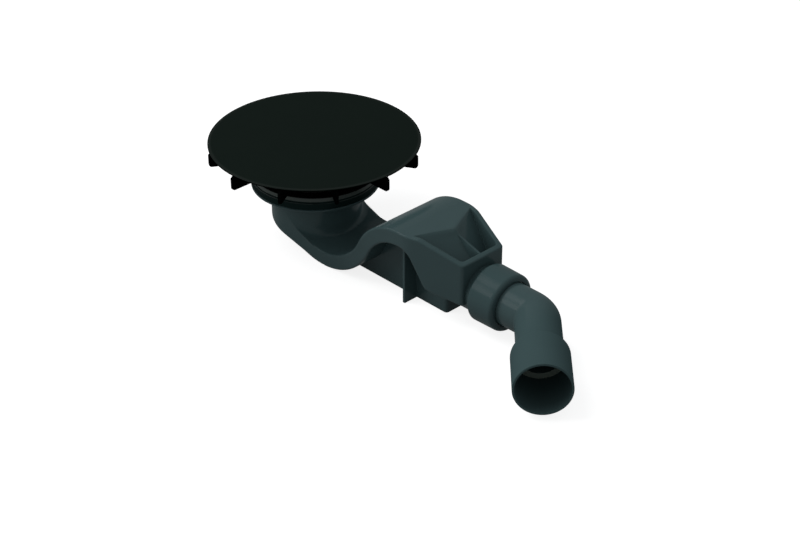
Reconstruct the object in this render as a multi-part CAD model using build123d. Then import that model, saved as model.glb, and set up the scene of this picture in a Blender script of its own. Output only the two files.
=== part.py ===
from build123d import *
import math
import os

# Flat shower trap: a black lid on fins, a flange that clamps the tray, a one-piece body with a flat
# S-shaped water seal, and a 45 degree outlet bend held by a union nut.
# Frame: origin on the drain axis, in the face of the lower seal where the tray sits.
# +X runs with the water to the outlet, +Z is up. Sizes in millimetres and degrees.

# Lid
cover_radius = 98.1
cover_thickness = 1.6
cover_edge_round = 0.5
cover_top = 35.0

# Carrier under the lid
fin_count = 12
fin_thickness = 2.4
fin_depth = 15.0
fin_overhang = 0.6
fin_top_chamfer = 3.2
fin_corner_round = 3.0
carrier_disc_radius = 90.0
carrier_disc_thickness = 1.6
hub_radius = 14.0
hub_wall = 2.4
leg_width = 5.5

# Clamping flange and its threaded sleeve
flange_radius = 59.6
flange_thickness = 4.8
flange_edge_round = 0.8
boss_radius = 43.5
boss_depth = 3.6
leg_recess_radius = 50.0
leg_recess_depth = 2.0
strainer_seat_width = 4.6
strainer_seat_depth = 2.0
sleeve_wall = 2.9
sleeve_depth = 15.0

# Seals above and below the tray
seal_radius = 60.0
seal_height = 7.0
seal_edge_round = 1.0
gasket_radius = 59.2
gasket_thickness = 0.9

# Hair strainer
strainer_wall = 1.6
strainer_depth = 17.0
strainer_rim_height = 1.8
slot_count = 16
slot_width = 3.0
slot_length = 17.0
slot_start_radius = 10.0
lift_knob_radius = 5.0
lift_knob_height = 8.0

# Collar and cup of the trap body
wall = 2.4
collar_radius = 60.1
collar_thickness = 2.3
collar_round = 0.8
brace_count = 8
brace_thickness = 2.0
brace_depth = 9.0
cup_radius = 42.0
cup_flare = 8.0

# Flat duct with the water seal
duct_half_width = 40.5
duct_height = 14.4
top_round = 1.6
base_round = 1.4
lead_x = 28.0
plan_round = 40.0
dip_x = 52.0
crest_run = 100.0
base_depth = 60.6
crest_rise = 62.1
arch_radius = 42.5
floor_slope = 15.2
roof_slope = 19.6

# Outlet chamber, measured along from the crest
rim_flat = 21.6
rim_slope = 17.8
rim_knee_round = 12.0
rim_width = 5.0
taper_run = 11.0
taper_angle = 16.2
chamber_length = 64.0
end_wall = 4.4
end_corner_round = 4.0
arch_slope = 62.5
arch_round = 15.0
arch_foot_drop = 33.4
chamber_floor_slope = 9.2
chamber_floor_round = 8.0
prow_reach = 30.0
prow_half_angle = 65.0
prow_slope = 46.0
gusset_thickness = 2.2
gusset_drop = 3.2
gusset_end_drop = 0.3

# Foot box and cross rib under the arch
foot_half_width = 16.5
foot_wall = 3.0
foot_run = 37.0
foot_corner_round = 3.0
rib_lead = 1.5
rib_thickness = 2.5
rib_half_width = 31.5

# Outlet neck, nut and elbow
outlet_drop = 31.6
pipe_radius = 20.0
pipe_wall = 1.9
neck_radius = 21.8
neck_thread_radius = 24.0
neck_thread_start = 8.0
neck_length = 26.0
trough_length = 32.0
stop_depth = 20.0
cone_length = 4.0
cone_depth = 2.2
seal_stand = 3.4
slip_thickness = 1.6
nut_gap = 6.6
nut_radius = 26.7
nut_taper = 0.5
nut_wall = 3.5
nut_round = 4.0
nut_lead_round = 1.6
bend_lead = 29.2
bend_angle = 45.0
bend_radius = 22.0
shoulder_start = 53.6
spigot_radius = 25.0
mouth_distance = 104.0
mouth_round = 0.6

# Clearances, overlap of cuts, and tolerance where faces run into each other
loose = 0.3
nut_bore_gap = 1.0
running = 0.1
cut = 1.0
join_tolerance = 0.0001

# Levels, measured from the face where the tray sits
cover_bottom = cover_top - cover_thickness
flange_bottom = gasket_thickness
flange_top = flange_bottom + flange_thickness
leg_seat = flange_top - leg_recess_depth
strainer_seat = leg_seat - strainer_seat_depth
collar_top = -seal_height
collar_bottom = collar_top - collar_thickness
base_z = -base_depth
sleeve_radius = cup_radius - wall - loose
sleeve_bore = sleeve_radius - sleeve_wall
sleeve_end = flange_bottom - boss_depth - sleeve_depth
strainer_seat_radius = sleeve_bore + strainer_seat_width
seal_bore_radius = boss_radius + cut

# The dip and the arch are two arcs that touch: their radii add up to the distance of their centres
crest_x = dip_x + crest_run
radius_sum = (crest_run ** 2 + crest_rise ** 2) / (2 * crest_rise)
dip_radius = radius_sum - arch_radius
dip_centre = (dip_x, base_z + dip_radius)
crest_under = base_z + crest_rise
arch_centre = (crest_x, crest_under - arch_radius)
crest_top = crest_under + duct_height
turn = math.degrees(math.atan2(dip_centre[1] - arch_centre[1], crest_run))

# Stations along the chamber, the neck and the elbow
rim_knee_x = crest_x + rim_flat
taper_x = crest_x + taper_run
end_wall_x = crest_x + chamber_length
inner_wall_x = end_wall_x - end_wall
prow_apex_x = crest_x + prow_reach
foot_end_x = crest_x + foot_run
arch_knee_x = crest_x + arch_round * math.tan(math.radians(arch_slope / 2)) + cut
arch_foot_x = arch_knee_x + arch_foot_drop / math.tan(math.radians(arch_slope))
arch_foot_z = crest_under - arch_foot_drop
outlet_z = crest_under - outlet_drop
neck_end = end_wall_x + neck_length
socket_stop = neck_end - stop_depth
bore_radius = pipe_radius - pipe_wall
socket_radius = pipe_radius + loose
seal_end = neck_end + seal_stand
slip_end = seal_end + slip_thickness
nut_start = end_wall_x + nut_gap
nut_end = slip_end + nut_wall
bend_x = nut_end + bend_lead
bend_leg = bend_radius * math.tan(math.radians(bend_angle / 2))

MIN_Z = (Align.CENTER, Align.CENTER, Align.MIN)


def post(radius, low, high):
    """Upright cylinder about the drain axis."""
    return Pos(0, 0, low) * Cylinder(radius, high - low, align=MIN_Z)


def hoop(outer, inner, low, high):
    """Upright ring about the drain axis."""
    return post(outer, low, high) - post(inner, low - cut, high + cut)


def rod(radius, start, end):
    """Cylinder along the outlet axis."""
    return Pos(start, 0, outlet_z) * Rot(0, 90, 0) * Cylinder(radius, end - start, align=MIN_Z)


def slab(face, half_width):
    """Side view drawn in x and z, given its width across y."""
    return extrude(Plane.XZ * face, amount=half_width, both=True)


def around(piece, count):
    """Copies of a piece, evenly spaced about the drain axis."""
    return [Rot(0, 0, i * 360 / count) * piece for i in range(count)]


def fall(run, slope):
    """Height lost along a level run at a slope."""
    return run * math.tan(math.radians(slope))


def rounded(face, point, radius):
    """Plane face with the corner nearest to a point rounded."""
    return fillet(face.vertices().sort_by_distance(point)[0], radius)


def inward(point, first, second, inset):
    """Corner of the side view moved up by inset, square to the two falling runs that meet in it."""
    middle = math.radians((first + second) / 2)
    reach = inset / math.cos(math.radians((first - second) / 2))
    return (point[0] + reach * math.sin(middle), point[1] + reach * math.cos(middle))


def lower_curve(inset):
    """Underside of the dip and the arch, moved into the duct by inset."""
    dip = CenterArc(dip_centre, dip_radius - inset, -90 - floor_slope, 90 + floor_slope - turn)
    arch = CenterArc(arch_centre, arch_radius + inset, 180 - turn, turn - 90)
    return dip, arch


def upper_curve(inset):
    """Top of the dip and the hump, moved into the duct by inset."""
    dip = CenterArc(dip_centre, dip_radius - duct_height + inset, -90 - roof_slope, 90 + roof_slope - turn)
    hump = CenterArc(arch_centre, arch_radius + duct_height - inset, 180 - turn, turn - 90)
    return dip, hump


def side_view(inset):
    """Side view from the drain axis to the end wall, moved inwards by inset at top and bottom."""
    dip_low, arch_low = lower_curve(inset)
    dip_high, hump = upper_curve(inset)
    low_left = (0, (dip_low @ 0).Y + fall((dip_low @ 0).X, floor_slope))
    high_left = (0, (dip_high @ 0).Y + fall((dip_high @ 0).X, roof_slope))
    arch_knee = inward((arch_knee_x, crest_under), 0, arch_slope, inset)
    arch_foot = inward((arch_foot_x, arch_foot_z), arch_slope, chamber_floor_slope, inset)
    rim_knee = inward((rim_knee_x, crest_top), 0, rim_slope, -inset)
    floor_end = (end_wall_x, arch_foot[1] - fall(end_wall_x - arch_foot[0], chamber_floor_slope))
    rim_end = (end_wall_x, rim_knee[1] - fall(end_wall_x - rim_knee[0], rim_slope))
    inlet = Polyline(dip_low @ 0, low_left, high_left, dip_high @ 0)
    chamber = Polyline(arch_low @ 1, arch_knee, arch_foot, floor_end, rim_end, rim_knee, hump @ 1)
    view = make_face(inlet + dip_low + arch_low + chamber + hump + dip_high)
    view = rounded(view, arch_knee, arch_round - inset)
    view = rounded(view, arch_foot, chamber_floor_round)
    return rounded(view, rim_knee, rim_knee_round)


def plan(inset, end):
    """Plan of the body as a tall block: tangent to the cup, straight, then tapering to the outlet."""
    side = duct_half_width - inset
    round_cup = cup_radius - inset
    reach = math.hypot(lead_x, side)
    touch = math.atan2(side, lead_x) + math.acos(round_cup / reach)
    start = (round_cup * math.cos(touch), round_cup * math.sin(touch))
    end_side = side - fall(end - taper_x, taper_angle)
    half = Polyline((0, 0), (0, start[1]), start, (lead_x, side), (taper_x, side), (end, end_side), (end, 0))
    face = make_face(half + mirror(half, Plane.XZ))
    for y in (-1, 1):
        face = rounded(face, (lead_x, y * side), plan_round)
        face = rounded(face, (taper_x, y * side), plan_round)
        face = rounded(face, (end, y * end_side), end_corner_round)
    return extrude(face, amount=2 * base_depth, both=True)


def cup(radius, inset, top):
    """Round inlet cup whose floor is the duct's sloping underside."""
    floor = CenterArc(dip_centre, dip_radius - inset, -90 - floor_slope, floor_slope)
    reach = -2 * radius
    left = (reach, (floor @ 0).Y + fall((floor @ 0).X - reach, floor_slope))
    sides = Polyline(floor @ 0, left, (reach, top), (dip_x, top), floor @ 1)
    return post(radius, base_z - cut, top) & slab(make_face(floor + sides), 2 * radius)


def above_prow(inset):
    """Everything beyond the two sloping faces that meet in the prow's ridge."""
    apex = Vector(prow_apex_x, 0, crest_top)
    edge = Vector(-math.cos(math.radians(prow_half_angle)), -math.sin(math.radians(prow_half_angle)), 0)
    ridge = Vector(math.cos(math.radians(prow_slope)), 0, -math.sin(math.radians(prow_slope)))
    normal = edge.cross(ridge).normalized()
    face = Plane(origin=apex - normal * inset, x_dir=edge, z_dir=normal)
    size = 4 * base_depth
    near = face.location * Box(size, size, size, align=MIN_Z)
    return near + mirror(near, Plane.XZ)


def lathe(*points):
    """Ring turned about the outlet axis from corners given as x and radius."""
    side = Plane(origin=(0, 0, outlet_z), x_dir=(1, 0, 0), z_dir=(0, -1, 0))
    return revolve(side * make_face(Polyline(*points, close=True)), Axis((0, 0, outlet_z), (1, 0, 0)))


def make_cover_plate():
    """Flat lid with a rounded edge."""
    plate = post(cover_radius, cover_bottom, cover_top)
    return fillet(plate.edges(), cover_edge_round)


def make_cover_carrier():
    """Disc, hub and radial fins; each fin's inner leg stands in the flange's recess."""
    tip = cover_radius + fin_overhang
    leg_out = leg_recess_radius - loose
    leg_in = leg_out - leg_width
    low = cover_bottom - fin_depth
    bore = hub_radius - hub_wall
    root = hub_radius - hub_wall / 2
    outline = make_face(Polyline(
        (root, cover_bottom), (tip - fin_top_chamfer, cover_bottom), (tip, cover_bottom - fin_top_chamfer),
        (tip, low), (leg_out, low), (leg_out, leg_seat), (leg_in, leg_seat), (leg_in, low), (root, low),
        close=True))
    fin = slab(rounded(outline, (tip, low), fin_corner_round), fin_thickness / 2)
    disc = hoop(carrier_disc_radius, bore, cover_bottom - carrier_disc_thickness, cover_bottom)
    hub = hoop(hub_radius, bore, low, cover_bottom)
    return disc + hub + around(fin, fin_count)


def make_clamp_flange():
    """Upper flange with the recess for the carrier's legs and the strainer, and the sleeve below."""
    plate = post(flange_radius, flange_bottom, flange_top)
    plate = fillet(plate.edges(), flange_edge_round)
    boss = post(boss_radius, flange_bottom - boss_depth, flange_bottom)
    sleeve = post(sleeve_radius, sleeve_end, flange_bottom)
    recess = post(leg_recess_radius, leg_seat, flange_top + cut)
    seat = post(strainer_seat_radius, strainer_seat, flange_top + cut)
    bore = post(sleeve_bore, sleeve_end - cut, flange_top + cut)
    return plate + boss + sleeve - recess - seat - bore


def make_tray_seal():
    """Thick soft ring between the collar and the tray, its outer edges rounded."""
    ring = post(seal_radius, collar_top, 0)
    ring = fillet(ring.edges(), seal_edge_round)
    return ring - post(seal_bore_radius, collar_top - cut, cut)


def make_flange_gasket():
    """Thin flat ring between the tray and the flange."""
    return hoop(gasket_radius, seal_bore_radius, 0, flange_bottom)


def make_hair_strainer():
    """Basket hung by its rim, with radial slots in its floor and a knob to lift it."""
    basket = sleeve_bore - loose
    top = strainer_seat + strainer_rim_height
    low = strainer_seat - strainer_depth
    shell = post(strainer_seat_radius - loose, strainer_seat, top) + post(basket, low, top)
    shell -= post(basket - strainer_wall, low + strainer_wall, top + cut)
    slot = Pos(slot_start_radius, 0, low - cut) * Box(
        slot_length, slot_width, strainer_wall + 2 * cut, align=(Align.MIN, Align.CENTER, Align.MIN))
    knob = post(lift_knob_radius, low, low + lift_knob_height)
    return shell - around(slot, slot_count) + knob


def make_collar():
    """Flat collar that carries the lower seal, with upright braces down to the cup."""
    plate = post(collar_radius, collar_bottom, collar_top)
    plate = fillet(plate.edges(), collar_round)
    root = cup_radius - wall / 2
    tip = collar_radius - 2 * collar_round
    brace = slab(make_face(Polyline(
        (root, collar_bottom), (tip, collar_bottom), (cup_radius, collar_bottom - brace_depth),
        (root, collar_bottom - brace_depth), close=True)), brace_thickness / 2)
    return plate + around(brace, brace_count)


def long_edges(block):
    """Edges along the sides and round the end wall, apart from those square to the side view."""
    kept = []
    for edge in block.edges():
        span = (edge @ 1) - (edge @ 0)
        upright = abs(span.X) < loose and abs(span.Y) < loose
        across = abs(span.X) < loose and abs(span.Z) < loose
        at_end = abs((edge @ 0).X - end_wall_x) < loose
        at_start = abs((edge @ 0).X) + abs((edge @ 1).X) < loose
        if not upright and not at_start and (at_end or not across):
            kept.append(edge)
    return kept


def on_top(block, edge):
    """True where the block lies under the edge."""
    middle = edge @ 0.5
    return block.is_inside((middle.X - cut, middle.Y * (1 - cut / duct_half_width), middle.Z - cut))


def make_run():
    """Duct and chamber as one solid block with rounded edges."""
    block = slab(side_view(0), 2 * duct_half_width) & plan(0, end_wall_x)
    block = fillet([edge for edge in long_edges(block) if on_top(block, edge)], top_round)
    return fillet([edge for edge in long_edges(block) if not on_top(block, edge)], base_round)


def make_flare():
    """Rounded flare where the cup's wall runs into the duct's roof."""
    foot = upper_curve(0)[0] @ 0
    left = -2 * cup_radius
    right = cup_radius + 2 * cup_flare
    high = foot.Y + fall(foot.X - left, roof_slope)
    low = foot.Y - fall(right - foot.X, roof_slope)
    under = [(right, low - wall), (left, high - wall)]
    sheet = Polyline((left, high), (right, low), *under, close=True)
    above = Polyline((left, collar_top), (right, collar_top), *under, close=True)
    round_wall = post(cup_radius, low - wall, collar_top) & slab(make_face(above), 2 * cup_radius)
    flare = round_wall + slab(make_face(sheet), 2 * cup_radius)
    seam = flare.edges().filter_by(GeomType.ELLIPSE).sort_by(Axis.Z)[-1]
    return fillet(seam, cup_flare) & plan(0, end_wall_x)


def make_pocket():
    """Open pocket behind the prow, inside the chamber's rim."""
    return plan(rim_width, inner_wall_x) & above_prow(0)


def make_prow():
    """Flat-topped prow that runs on from the hump into the pocket."""
    low = crest_under + wall / 2
    top = [(crest_x, crest_top), (inner_wall_x, crest_top)]
    view = Polyline((crest_x, low), *top, (inner_wall_x, low), close=True)
    prow = slab(make_face(view), 2 * duct_half_width) & plan(rim_width - cut, inner_wall_x)
    return prow - above_prow(0)


def make_gusset():
    """Upright web from the prow's ridge to the end wall."""
    rim_z = crest_top - fall(inner_wall_x - rim_knee_x, rim_slope)
    end = inner_wall_x + cut
    low = outlet_z + bore_radius + wall / 2
    return slab(make_face(Polyline(
        (prow_apex_x, crest_top - gusset_drop), (end, rim_z - gusset_end_drop), (end, low),
        (prow_apex_x, low), close=True)), gusset_thickness / 2)


def under_view(inset, end):
    """Side view of the space between the base plane and the underside of duct and chamber."""
    low_dip = CenterArc(dip_centre, dip_radius - inset, -90, 90 - turn)
    arch = lower_curve(inset)[1]
    knee = inward((arch_knee_x, crest_under), 0, arch_slope, inset)
    foot = inward((arch_foot_x, arch_foot_z), arch_slope, chamber_floor_slope, inset)
    roof = Polyline(arch @ 1, knee, foot, (end, foot[1]), (end, base_z), (dip_x, base_z), low_dip @ 0)
    return make_face(low_dip + arch + roof)


def make_foot():
    """Open-bottomed foot box under the arch, with a cross rib through it."""
    outer = slab(under_view(wall / 2, foot_end_x), foot_half_width)
    ends = outer.edges().filter_by(Axis.Z).group_by(Axis.X)[-1]
    outer = fillet(ends, foot_corner_round)
    inner = slab(under_view(0, foot_end_x - foot_wall), foot_half_width - foot_wall)
    rib = Pos(crest_x - rib_lead, 0, base_z) * Box(
        rib_thickness, 2 * rib_half_width, crest_under + wall / 2 - base_z, align=MIN_Z)
    return outer - inner + rib


def make_waterway():
    """Everything the water fills, from the collar's mouth to the end of the neck."""
    mouth = cup(cup_radius - wall, wall, collar_top + cut)
    run = slab(side_view(wall), 2 * duct_half_width) & plan(wall, inner_wall_x)
    run -= above_prow(wall)
    bore = rod(bore_radius, end_wall_x - trough_length + wall, neck_end + cut)
    socket = rod(socket_radius, socket_stop, neck_end + cut)
    cone_plane = Plane(origin=(neck_end - cone_length, 0, outlet_z), z_dir=(1, 0, 0))
    cone = cone_plane.location * Cone(socket_radius, socket_radius + cone_depth, cone_length, align=MIN_Z)
    return mouth + run + bore + socket + cone


def make_trap_body():
    """One moulding: collar, cup, flat duct, hump, outlet chamber, foot, ribs and threaded neck."""
    inlet = cup(cup_radius, 0, collar_top)
    curved = [edge for edge in inlet.edges() if edge.geom_type != GeomType.LINE]
    inlet = fillet([edge for edge in curved if (edge @ 0.5).Z < collar_bottom], base_round)
    neck = rod(neck_radius, end_wall_x - trough_length, neck_end - cut)
    thread = rod(neck_thread_radius, end_wall_x + neck_thread_start, neck_end)
    chamber = make_run() - make_pocket() + make_prow()
    body = chamber.fuse(inlet, tol=join_tolerance).fuse(make_flare(), tol=join_tolerance)
    body = body + make_collar() + make_gusset() + neck + thread + make_foot()
    return body - make_waterway()


def make_outlet_seal():
    """Soft ring: a cone pressed into the neck's mouth, and a flat head in front of it."""
    bore = pipe_radius + running
    head = neck_thread_radius - loose
    tip = neck_end - cone_length + cut
    tip_radius = socket_radius + cone_depth * cut / cone_length - running
    root_radius = socket_radius + cone_depth - running
    return lathe((tip, bore), (tip, tip_radius), (neck_end, root_radius), (neck_end, head),
                 (seal_end, head), (seal_end, bore))


def make_slip_ring():
    """Hard flat washer that lets the nut turn on the seal."""
    ring = rod(neck_thread_radius - loose, seal_end, slip_end)
    return ring - rod(pipe_radius + loose, seal_end - cut, slip_end + cut)


def make_union_nut():
    """Smooth nut, slightly tapered, rounded at both ends."""
    shell = lathe((nut_start, 0), (nut_start, nut_radius), (nut_end, nut_radius - nut_taper), (nut_end, 0))
    rims = shell.edges().filter_by(GeomType.CIRCLE).sort_by(Axis.X)
    shell = fillet(rims[-1], nut_round)
    shell = fillet(shell.edges().filter_by(GeomType.CIRCLE).sort_by(Axis.X)[0], nut_lead_round)
    thread = rod(neck_thread_radius + loose, nut_start - cut, slip_end)
    return shell - thread - rod(pipe_radius + nut_bore_gap, nut_start, nut_end + cut)


def bent_pipe(radius, start, leg_view):
    """Straight leg, bend, and a free leg turned from its outline in radius and distance from the corner."""
    bend_start = bend_x - bend_leg
    section = Plane(origin=(bend_start, 0, outlet_z), z_dir=(1, 0, 0)) * Circle(radius)
    bend = revolve(section, Axis((bend_start, -bend_radius, outlet_z), (0, 0, -1)), bend_angle)
    along = math.cos(math.radians(bend_angle))
    aside = math.sin(math.radians(bend_angle))
    corner = (bend_x, 0, outlet_z)
    leg_plane = Plane(origin=corner, x_dir=(0, 0, 1), z_dir=(aside, along, 0))
    leg = revolve(leg_plane * leg_view, Axis(corner, (along, -aside, 0)))
    return rod(radius, start, bend_start) + bend + leg


def make_outlet_elbow():
    """Bent pipe that turns in the outlet seal, with a round shoulder up to the wider free end."""
    wide = shoulder_start + spigot_radius - pipe_radius
    shoulder = TangentArc((spigot_radius, wide), (pipe_radius, shoulder_start), tangent=(0, -1))
    sides = Polyline((pipe_radius, shoulder_start), (pipe_radius, bend_leg), (0, bend_leg),
                     (0, mouth_distance), (spigot_radius, mouth_distance), (spigot_radius, wide))
    outside = rounded(make_face(shoulder + sides), (spigot_radius, mouth_distance), mouth_round)
    wide_bore = spigot_radius - pipe_wall
    step = shoulder_start + pipe_wall
    inside = make_face(Polyline(
        (0, bend_leg), (bore_radius, bend_leg), (bore_radius, step), (wide_bore, step),
        (wide_bore, mouth_distance + cut), (0, mouth_distance + cut), close=True))
    start = socket_stop + loose
    return bent_pipe(pipe_radius, start, outside) - bent_pipe(bore_radius, start - cut, inside)


parts = {
    "cover_plate": make_cover_plate(),
    "cover_carrier": make_cover_carrier(),
    "clamp_flange": make_clamp_flange(),
    "flange_gasket": make_flange_gasket(),
    "tray_seal": make_tray_seal(),
    "hair_strainer": make_hair_strainer(),
    "trap_body": make_trap_body(),
    "outlet_seal": make_outlet_seal(),
    "slip_ring": make_slip_ring(),
    "union_nut": make_union_nut(),
    "outlet_elbow": make_outlet_elbow(),
}

os.makedirs("parts", exist_ok=True)
for name, solid in parts.items():
    solid.label = name
    export_step(solid, f"parts/{name}.step")
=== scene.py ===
import math

import bpy
from mathutils import Matrix, Quaternion, Vector


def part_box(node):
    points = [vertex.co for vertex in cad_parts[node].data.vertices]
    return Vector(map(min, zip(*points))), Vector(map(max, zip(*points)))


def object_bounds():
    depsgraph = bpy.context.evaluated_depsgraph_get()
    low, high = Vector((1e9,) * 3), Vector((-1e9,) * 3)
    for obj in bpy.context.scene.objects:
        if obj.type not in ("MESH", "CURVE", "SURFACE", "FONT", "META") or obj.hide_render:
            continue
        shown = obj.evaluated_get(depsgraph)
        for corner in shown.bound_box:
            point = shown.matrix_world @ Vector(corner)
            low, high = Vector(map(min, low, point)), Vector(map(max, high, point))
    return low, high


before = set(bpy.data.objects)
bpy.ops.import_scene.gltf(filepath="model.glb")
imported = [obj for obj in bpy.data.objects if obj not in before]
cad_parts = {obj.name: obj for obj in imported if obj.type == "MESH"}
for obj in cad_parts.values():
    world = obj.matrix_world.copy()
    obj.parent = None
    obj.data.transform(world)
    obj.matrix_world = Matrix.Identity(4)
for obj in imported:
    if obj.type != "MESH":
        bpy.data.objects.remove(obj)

cad_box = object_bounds()


# Trap body: collar, cup, flat water seal, hump, outlet chamber and foot in one piece.
# Injection-moulded polypropylene in dark slate grey, with a fine spark-eroded skin.
# It stands on the bottom of the dip and on the foot, and everything else is fixed to it.
class Wire:
    """An output socket of a material's nodes; sums and products of wires add Math nodes."""

    def __init__(self, tree, socket=None):
        self.tree = tree
        self.socket = socket

    def node(self, kind, settings=None, inputs=None, output=0):
        """Adds a node: its settings first, then the values or wires of its sockets."""
        made = self.tree.nodes.new("ShaderNode" + kind)
        for name, value in (settings or {}).items():
            setattr(made, name, value)
        for name, value in (inputs or {}).items():
            if isinstance(value, Wire):
                self.tree.links.new(value.socket, made.inputs[name])
            else:
                made.inputs[name].default_value = value
        return Wire(self.tree, made.outputs[output] if made.outputs else None)

    def maths(self, operation, first, second):
        return self.node("Math", {"operation": operation}, {0: first, 1: second})

    def __add__(self, other):
        return self.maths("ADD", self, other)

    def __radd__(self, other):
        return self.maths("ADD", other, self)

    def __sub__(self, other):
        return self.maths("SUBTRACT", self, other)

    def __rsub__(self, other):
        return self.maths("SUBTRACT", other, self)

    def __mul__(self, other):
        return self.maths("MULTIPLY", self, other)

    def __rmul__(self, other):
        return self.maths("MULTIPLY", other, self)


def bare_nodes(owner):
    """Empties the nodes of a material or the world, and gives a bare wire to add new ones with."""
    owner.use_nodes = True
    owner.node_tree.nodes.clear()
    return Wire(owner.node_tree)


def moulded(name, tint, shift, roughness, coat_roughness, grain_size, grain_depth, coat=0.0, edge=0.0):
    """Moulded plastic or rubber: a faint cloud in the pigment, a fine skin from the tool, blunt edges.

    The pigment drifts by the share shift either side of tint. coat is the gloss where it is even.
    grain_size and grain_depth are those of the skin, and edge is the radius of the blunt edges.
    """
    cloud_scale = 28.0
    cloud_detail = 3.0
    skin_detail = 2.0
    cloud_roughness = 0.10
    skin_roughness = 0.16
    edge_samples = 8

    material = bpy.data.materials.new(name)
    wire = bare_nodes(material)
    place = wire.node("TexCoord", output="Object")
    cloud = wire.node("TexNoise", None, {"Vector": place, "Scale": cloud_scale, "Detail": cloud_detail})
    skin = wire.node("TexNoise", None, {"Vector": place, "Scale": 1 / grain_size, "Detail": skin_detail})
    darker = [c * (1 - shift) for c in tint]
    lighter = [c * (1 + shift) for c in tint]
    pigment = wire.node("Mix", {"data_type": "RGBA"},
                        {"Factor": cloud, "A": (*darker, 1), "B": (*lighter, 1)}, output="Result")
    blunt = wire.node("Bevel", {"samples": edge_samples}, {"Radius": edge})
    bump = wire.node("Bump", None, {"Strength": 1.0, "Distance": grain_depth, "Height": skin,
                                    "Normal": blunt})
    shader = wire.node("BsdfPrincipled", None, {
        "Base Color": pigment,
        "Roughness": roughness + cloud_roughness * (cloud - 0.5) + skin_roughness * (skin - 0.5),
        "Specular IOR Level": 0.0,
        "Coat Weight": coat,
        "Coat Roughness": coat_roughness,
        "Normal": bump,
    })
    wire.node("OutputMaterial", None, {"Surface": shader})
    return material


def finish_node(name, material):
    """Gives a solid of the frame its finish."""
    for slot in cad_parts[name].material_slots:
        slot.material = material


def place_on(material):
    """Place on the piece that has this finish."""
    return Wire(material.node_tree).node("TexCoord", output="Object")


def measured_along(material, axis):
    """Distance along an axis of the piece that has this finish."""
    place = place_on(material)
    return place.node("SeparateXYZ", None, {"Vector": place}, output=axis)


def graded(measure, start, end, first, last):
    """Value that goes from first to last while the measure goes from start to end."""
    return measure.node("MapRange", None, {"Value": measure, "From Min": start, "From Max": end,
                                           "To Min": first, "To Max": last})


def set_gloss(material, gloss):
    """Lets the gloss of a finish change over the piece."""
    shader = material.node_tree.nodes["Principled BSDF"]
    material.node_tree.links.new(gloss.socket, shader.inputs["Coat Weight"])


def second_edge(material, amount, edge):
    """Lets the radius of the blunt edges change to a second one where the amount is 1."""
    samples = 12
    facing = material.node_tree.nodes["Bump"].inputs["Normal"]
    blunt = Wire(material.node_tree, facing.links[0].from_socket)
    rounder = blunt.node("Bevel", {"samples": samples}, {"Radius": edge})
    mixed = blunt.node("Mix", {"data_type": "VECTOR"},
                       {"Factor": amount, "A": blunt, "B": rounder}, output="Result")
    material.node_tree.links.new(mixed.socket, facing)


slate = (0.0362, 0.0625, 0.065)
body_edge = 0.0018
dull_below = -0.054
glossy_above = -0.036
dip_gloss = 0.08
body_gloss = 0.12
hump_point = (0.182, 0, 0.0159)
round_within = 0.022
plain_beyond = 0.033
hump_point_edge = 0.007
body_slate = moulded("body_slate", slate, shift=0.06, roughness=0.5, coat_roughness=0.18,
                     grain_size=0.0005, grain_depth=0.00002, edge=body_edge)
height = measured_along(body_slate, "Z")
set_gloss(body_slate, graded(height, dull_below, glossy_above, dip_gloss, body_gloss))
place = place_on(body_slate)
from_point = place.node("VectorMath", {"operation": "DISTANCE"}, {0: place, 1: hump_point}, output="Value")
at_point = graded(from_point, round_within, plain_beyond, 1.0, 0.0)
second_edge(body_slate, at_point, hump_point_edge)
finish_node("trap_body", body_slate)


# Seals: the thick ring under the tray, the thin gasket above it and the outlet's conical ring.
# Black rubber, dull and very slightly pitted, pressed flat between the parts that they close.
# The thick ring has a smooth upper lip, which shines a little.
rubber_black = (0.004, 0.0105, 0.0100)
rubber_skin = {"shift": 0.15, "roughness": 0.7, "coat_roughness": 0.4,
               "grain_size": 0.0008, "grain_depth": 0.00005}
rubber_gloss = 0.03
rubber = moulded("seal_rubber", rubber_black, **rubber_skin, coat=rubber_gloss)
for name in ("flange_gasket", "outlet_seal"):
    finish_node(name, rubber)

seal_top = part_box("tray_seal")[1].z
lip_start = seal_top - 0.0010
lip_full = seal_top - 0.0004
lip_gloss = 0.32
tray_rubber = moulded("tray_rubber", rubber_black, **rubber_skin)
height = measured_along(tray_rubber, "Z")
set_gloss(tray_rubber, graded(height, lip_start, lip_full, rubber_gloss, lip_gloss))
finish_node("tray_seal", tray_rubber)


# Clamping flange: the plate over the tray's hole, with its threaded sleeve down in the cup.
# Moulded in a dark neutral grey; its upper face, under the lid, is dull and painted black as painted
# shade.
# It screws down and squeezes the two seals.
def second_colour(material, amount, tint):
    """Lets a finish change to a second colour where the amount is 1."""
    paint = material.node_tree.nodes["Principled BSDF"].inputs["Base Color"]
    pigment = Wire(material.node_tree, paint.links[0].from_socket)
    mixed = pigment.node("Mix", {"data_type": "RGBA"},
                         {"Factor": amount, "A": pigment, "B": (*tint, 1)}, output="Result")
    material.node_tree.links.new(mixed.socket, paint)


flange_tint = (0.048, 0.060, 0.055)
flange_top_painted_shade = (0.0013, 0.0016, 0.0015)
flange_gloss = 0.12
flange_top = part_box("clamp_flange")[1].z
shade_start = flange_top - 0.0010
shade_full = flange_top - 0.0004
flange_grey = moulded("flange_grey", flange_tint, shift=0.06, roughness=0.5, coat_roughness=0.25,
                      grain_size=0.0005, grain_depth=0.00003)
# The upper face is painted black and left without gloss: painted shade under the lid.
painted_shade_on_top = graded(measured_along(flange_grey, "Z"), shade_start, shade_full, 0.0, 1.0)
second_colour(flange_grey, painted_shade_on_top, flange_top_painted_shade)
set_gloss(flange_grey, flange_gloss * (1 - painted_shade_on_top))
finish_node("clamp_flange", flange_grey)


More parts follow.
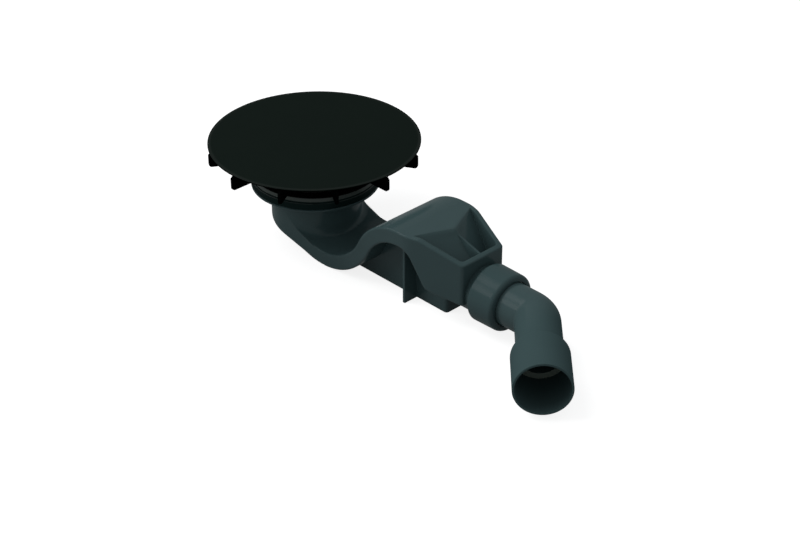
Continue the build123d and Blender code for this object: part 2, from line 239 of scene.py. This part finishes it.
# Hair strainer and slip ring: the lift-out basket in the flange, and the washer under the nut.
# Both are moulded in plain light grey; the basket hangs by its rim and lifts out by its knob.
light_grey = (0.17, 0.18, 0.18)
pale_grey = moulded("strainer_grey", light_grey, shift=0.05, roughness=0.45, coat_roughness=0.3,
                    grain_size=0.0006, grain_depth=0.00003, coat=0.3)
for name in ("hair_strainer", "slip_ring"):
    finish_node(name, pale_grey)


# Carrier: disc, hub and twelve radial fins under the lid, standing in the flange's recess.
# One black moulding that lifts out with the lid; hair and water pass between its fins. Its black is
# painted darker still, as painted shade under the lid.
# A black that is partly the moulding's own and partly painted shade under the lid.
carrier_tint_and_shade = (0.0006, 0.0010, 0.0010)
carrier_black = moulded("carrier_black", carrier_tint_and_shade, shift=0.2, roughness=0.6, coat_roughness=0.3,
                        grain_size=0.0005, grain_depth=0.00003, coat=0.004)
finish_node("cover_carrier", carrier_black)


# Lid: a flat round plate that covers the drain, clipped to its carrier.
# Matt black with a fine even grain; its side is painted a deeper black, as painted shade.
# Its blunt upper edge is a little smoother and catches a thin line of light.
lid_tint = (0.0053, 0.0090, 0.0073)
lid_side_painted_shade = (0.0008, 0.0012, 0.0010)
lid_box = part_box("cover_plate")
lid_radius = (lid_box[1].x - lid_box[0].x) / 2
lid_top = lid_box[1].z
rim_start = lid_radius - 0.0034
rim_full = lid_radius - 0.0022
side_end = lid_top - 0.0006
top_start = lid_top - 0.0002
lid_gloss = 0.02
rim_gloss = 0.08
lid_edge = 0.002
lid_black = moulded("lid_black", lid_tint, shift=0.05, roughness=0.6, coat_roughness=0.3,
                    grain_size=0.0006, grain_depth=0.00004, edge=lid_edge)
place = place_on(lid_black)
flat = place.node("VectorMath", {"operation": "MULTIPLY"}, {0: place, 1: (1, 1, 0)})
radius = flat.node("VectorMath", {"operation": "LENGTH"}, {0: flat}, output="Value")
rim = graded(radius, rim_start, rim_full, lid_gloss, rim_gloss)
above = graded(measured_along(lid_black, "Z"), side_end, top_start, 0.0, 1.0)
set_gloss(lid_black, rim * above)
# The side is painted a deeper black than the top: painted shade.
second_colour(lid_black, 1 - above, lid_side_painted_shade)
finish_node("cover_plate", lid_black)


# Union nut: the smooth ring that screws onto the outlet neck and presses the seal onto the pipe.
# The same slate plastic as the body, a little smoother from a polished tool.
nut_slate = moulded("nut_slate", slate, shift=0.05, roughness=0.45, coat_roughness=0.13,
                    grain_size=0.0005, grain_depth=0.00002, coat=0.09)
finish_node("union_nut", nut_slate)


# Outlet bend: a bent pipe that turns in the outlet seal, widened to a larger pipe at its free end.
# Moulded in the same slate plastic, a shade lighter; the plain end that slides in the seal is smoother.
# The step where the wide bore ends is paler than the rest.
pipe_slate = (0.044, 0.073, 0.0755)
step_grey = (0.145, 0.18, 0.155)
smooth_up_to = 0.275
dull_from = 0.305
plain_end_gloss = 0.1
bend_corner = (0.2797, 0, -0.0301)
free_leg = (math.sqrt(0.5), -math.sqrt(0.5), 0)
step_at = 0.0555
step_near = 0.0003
step_far = 0.0005
inside_radius = 0.0231
wall_radius = 0.0234
elbow_slate = moulded("elbow_slate", pipe_slate, shift=0.05, roughness=0.45, coat_roughness=0.13,
                      grain_size=0.0005, grain_depth=0.00002)
along_outlet = measured_along(elbow_slate, "X")
set_gloss(elbow_slate, graded(along_outlet, smooth_up_to, dull_from, plain_end_gloss, 0.0))
place = place_on(elbow_slate)
reach = place.node("VectorMath", {"operation": "SUBTRACT"}, {0: place, 1: bend_corner})
down_leg = reach.node("VectorMath", {"operation": "DOT_PRODUCT"}, {0: reach, 1: free_leg}, output="Value")
across = reach.node("VectorMath", {"operation": "CROSS_PRODUCT"}, {0: reach, 1: free_leg})
off_axis = across.node("VectorMath", {"operation": "LENGTH"}, {0: across}, output="Value")
before_end = graded(down_leg, step_at + step_near, step_at + step_far, 1.0, 0.0)
after_start = graded(down_leg, step_at - step_far, step_at - step_near, 0.0, 1.0)
in_bore = graded(off_axis, inside_radius, wall_radius, 1.0, 0.0)
second_colour(elbow_slate, before_end * after_start * in_bore, step_grey)
finish_node("outlet_elbow", elbow_slate)


# Studio: a plain pale floor under the trap, two large soft lights above and to the left, a dim room.
# The floor and the room look white to the camera and in reflections, and the floor keeps the shadow.
# The camera stands where the picture was taken from, its lens set for a frame 800 pixels wide.
floor_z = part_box("trap_body")[0].z
floor_radius = 40.0
floor_grey = (0.35, 0.35, 0.35, 1)
white = (1, 1, 1, 1)
floor_glow = 0.83
bpy.ops.mesh.primitive_circle_add(vertices=128, radius=floor_radius, fill_type="NGON",
                                  location=(0, 0, floor_z))
floor = bpy.context.object
floor.name = "floor"


def seen(wire):
    """1 for rays that show the room to the camera, directly, mirrored or through glass; else 0."""
    direct = wire.node("LightPath", output="Is Camera Ray")
    mirrored = wire.node("LightPath", output="Is Glossy Ray")
    through = wire.node("LightPath", output="Is Transmission Ray")
    return direct + mirrored + through


floor_white = bpy.data.materials.new("floor_white")
wire = bare_nodes(floor_white)
matt = wire.node("BsdfDiffuse", None, {"Color": floor_grey})
glow = wire.node("Emission", None, {"Color": white, "Strength": floor_glow})
lit = wire.node("AddShader", None, {0: matt, 1: glow})
surface = wire.node("MixShader", None, {0: seen(wire), 1: matt, 2: lit})
wire.node("OutputMaterial", None, {"Surface": surface})
floor.data.materials.append(floor_white)

middle = (cad_box[0] + cad_box[1]) / 2


def direction(azimuth, elevation):
    """Way from the trap to a light or the camera; azimuth 0 is towards -Y and 90 towards +X."""
    a = math.radians(azimuth)
    e = math.radians(elevation)
    return Vector((math.sin(a) * math.cos(e), -math.cos(a) * math.cos(e), math.sin(e)))


def soft_light(name, azimuth, elevation, roll, distance, width, height, power):
    """Rectangular soft light that looks at the middle of the trap."""
    lamp = bpy.data.lights.new(name, "AREA")
    lamp.shape = "RECTANGLE"
    lamp.size = width
    lamp.size_y = height
    lamp.energy = power
    light = bpy.data.objects.new(name, lamp)
    light.location = middle + distance * direction(azimuth, elevation)
    aim = (light.location - middle).to_track_quat("Z", "Y")
    light.rotation_euler = (aim @ Quaternion((0, 0, 1), math.radians(roll))).to_euler()
    bpy.context.scene.collection.objects.link(light)


soft_light("strip_light", azimuth=-56, elevation=40, roll=-39, distance=1.9,
           width=2.0, height=0.5, power=14.5)
soft_light("high_light", azimuth=-40, elevation=62, roll=0, distance=1.9,
           width=1.2, height=1.0, power=11.5)

room_tint = (0.98, 1.0, 1.02, 1)
room_level = 0.47
world = bpy.data.worlds.new("room")
wire = bare_nodes(world)
dim = wire.node("Background", None, {"Color": room_tint, "Strength": room_level})
bright = wire.node("Background", None, {"Color": white, "Strength": 1.0})
room = wire.node("MixShader", None, {0: seen(wire), 1: dim, 2: bright})
wire.node("OutputWorld", None, {"Surface": room})
bpy.context.scene.world = world

view_azimuth = 46.239
view_elevation = 31.679
view_roll = math.radians(-0.188)
view_distance = 1.65612
view_target = Vector((0.09875, 0.01358, -0.06534))
image_width = 800
focal_pixels = 1804.47
sensor_width = 36.0

back = direction(view_azimuth, view_elevation)
level_right = direction(view_azimuth + 90, 0)
level_up = back.cross(level_right)
right = math.cos(view_roll) * level_right + math.sin(view_roll) * level_up
up = back.cross(right)
lens = bpy.data.cameras.new("photo_camera")
lens.sensor_fit = "HORIZONTAL"
lens.sensor_width = sensor_width
lens.lens = focal_pixels / image_width * sensor_width
camera = bpy.data.objects.new("photo_camera", lens)
stand = Matrix.Translation(view_target + view_distance * back)
turn = Matrix((right, up, back)).transposed().to_4x4()
camera.matrix_world = stand @ turn
bpy.context.scene.collection.objects.link(camera)
bpy.context.scene.camera = camera
bpy.context.scene.view_settings.view_transform = "Standard"
